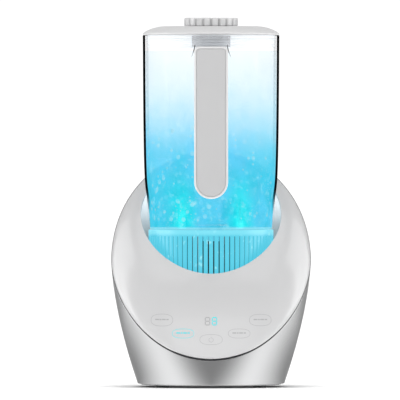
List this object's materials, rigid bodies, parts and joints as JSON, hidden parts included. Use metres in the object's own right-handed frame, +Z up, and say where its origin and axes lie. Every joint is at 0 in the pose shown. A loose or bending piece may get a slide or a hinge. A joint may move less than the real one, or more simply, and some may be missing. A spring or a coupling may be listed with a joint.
{
  "type": "cool mist humidifier",
  "caption": "Cool mist humidifier: clear lift-off water tank with a handle and turning mist nozzle, standing in the slanted well of a satin metal base with a white domed touch face.",
  "frame": {"origin": "on the surface it stands on, under the middle of the base", "axes": "+Z up, -Y towards the user (handle and touch keys), +X to the user's right"},
  "size_m": [0.1902, 0.191, 0.3505],
  "materials": {
    "satin_metal": "satin silver, smooth",
    "white_gloss": "high gloss moulded white",
    "white_matte": "fine moulded texture",
    "grey_plastic": "satin light grey",
    "clear_tank": "clear, polished",
    "clear_plastic": "clear, polished",
    "cyan_plastic": "translucent, lit cyan",
    "rubber": "matt",
    "silicone": "translucent white, matt",
    "steel": "fine brushed",
    "aluminium": "bare extruded",
    "circuit_board": "solder mask",
    "black_plastic": "fine moulded texture",
    "ceramic": "plated piezo ceramic"
  },
  "bodies": {
    "base": {"base_shell": "satin_metal", "face_cover": "white_gloss", "bottom_cover": "white_matte", "tank_well": "white_gloss", "transducer_disc": "ceramic", "transducer_seal": "silicone", "transducer_holder": "steel", "mist_hood": "white_matte", "float_clip": "grey_plastic", "fan_housing": "black_plastic", "air_duct": "white_matte", "driver_board": "circuit_board", "heat_sink": "aluminium", "led_board": "circuit_board", "light_pipe_left": "clear_plastic", "light_pipe_right": "clear_plastic", "dc_jack": "black_plastic", "control_board": "circuit_board", "display_module": "black_plastic", "foot_front_left": "rubber", "bottom_screw_front_left": "steel", "foot_front_right": "rubber", "bottom_screw_front_right": "steel", "foot_rear_left": "rubber", "bottom_screw_rear_left": "steel", "foot_rear_right": "rubber", "bottom_screw_rear_right": "steel", "touch_pad_power": "steel", "touch_pad_timer": "steel", "touch_pad_level": "steel", "touch_pad_light": "steel", "touch_pad_ion": "steel"},
    "tank": {"tank_jar": "clear_tank", "foot_grille": "cyan_plastic", "mist_tube": "clear_plastic", "tube_seal": "silicone", "valve_seat": "white_matte", "handle_body": "white_gloss", "handle_face": "grey_plastic", "handle_screw_lower": "steel", "handle_screw_upper": "steel"},
    "lid": {"lid_cover": "white_gloss", "lid_plug": "grey_plastic", "lid_gasket": "silicone"},
    "nozzle": {"mist_nozzle": "white_gloss", "nozzle_retainer": "grey_plastic"},
    "valve": {"valve_plunger": "grey_plastic", "valve_gasket": "silicone", "valve_spring": "steel"},
    "float": {"water_float": "white_matte"},
    "fan": {"fan_rotor": "black_plastic"}
  },
  "joints": [
    {"name": "tank_lift", "type": "slide", "parent": "base", "child": "tank", "axis": [0, 0, 1], "range_m": [0, 0.15]},
    {"name": "lid_lift", "type": "slide", "parent": "tank", "child": "lid", "axis": [0, 0, 1], "range_m": [0, 0.06]},
    {"name": "nozzle_turn", "type": "hinge", "parent": "lid", "child": "nozzle", "pos_m": [0, 0.021, 0.3428], "axis": [0, 0, 1], "continuous": true},
    {"name": "valve_slide", "type": "slide", "parent": "tank", "child": "valve", "axis": [0, 0, 1], "range_m": [-0.003, 0], "deforming": ["valve_spring"]},
    {"name": "float_slide", "type": "slide", "parent": "base", "child": "float", "axis": [0, 0, 1], "range_m": [0, 0.009]},
    {"name": "fan_spin", "type": "hinge", "parent": "base", "child": "fan", "pos_m": [-0.03, 0.026, 0.017], "axis": [0, 0, 1], "continuous": true}
  ],
  "couplings": [
    {"joint": "valve_slide", "follows": "tank_lift", "ratio": -0.02}
  ]
}
